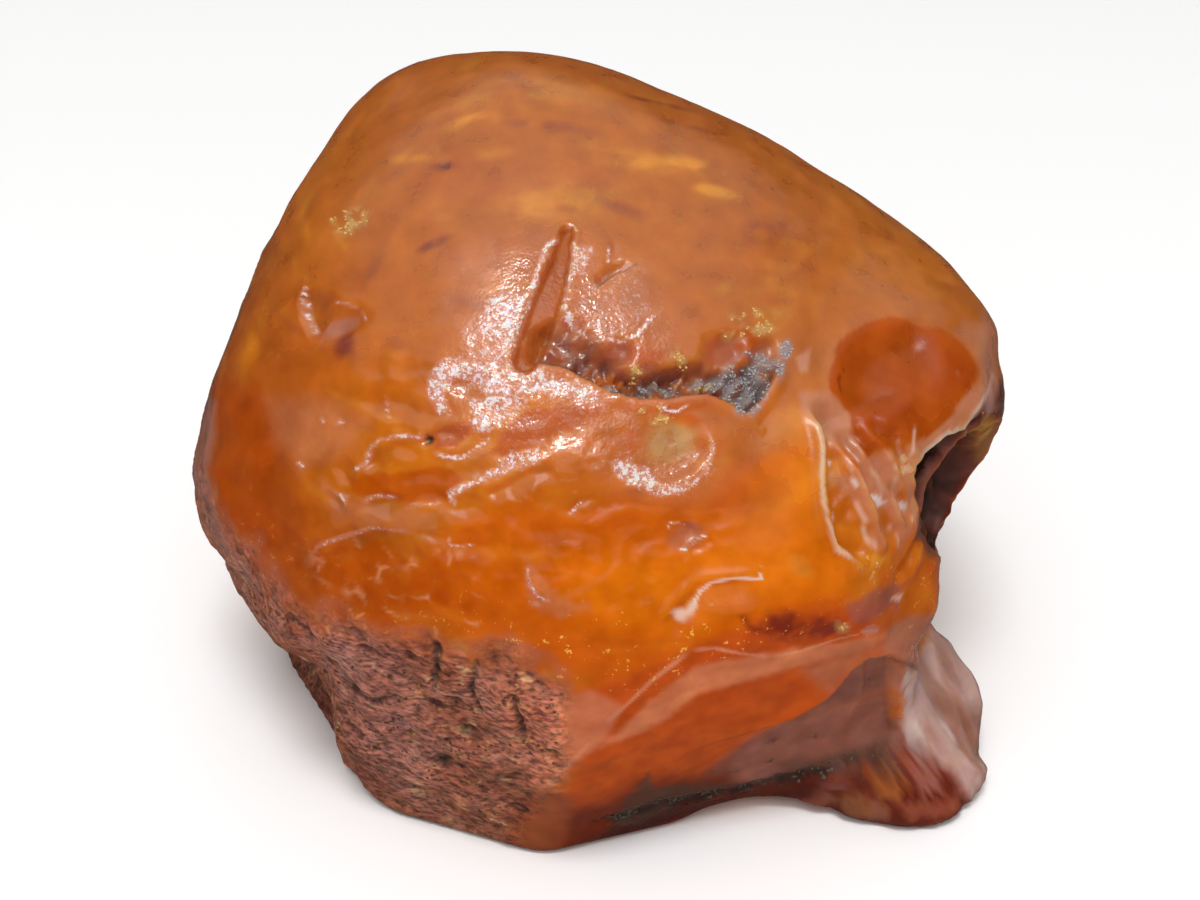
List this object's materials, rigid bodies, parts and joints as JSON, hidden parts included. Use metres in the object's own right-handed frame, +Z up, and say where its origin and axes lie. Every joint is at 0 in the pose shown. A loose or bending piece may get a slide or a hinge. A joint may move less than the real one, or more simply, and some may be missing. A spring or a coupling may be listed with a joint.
{
  "type": "raw amber piece",
  "caption": "Hand-sized nugget of raw amber with a worn glossy dome, a pitted crust face, a broken lower face, a deep side notch and a spur-like foot; it rests on its own flat base.",
  "frame": {"origin": "centre of the bounding box in plan, on the ground plane under the stone's flat base", "axes": "+Z up, -Y towards the broken front faces, +X towards the notch and the spur of the foot"},
  "size_m": [0.072, 0.062, 0.0611],
  "materials": {
    "amber": "tumbled natural resin, glossy to satin, clouded orange-brown with a dull mauve crust on one face"
  },
  "bodies": {
    "root": {"amber_nugget": "amber"}
  },
  "joints": []
}
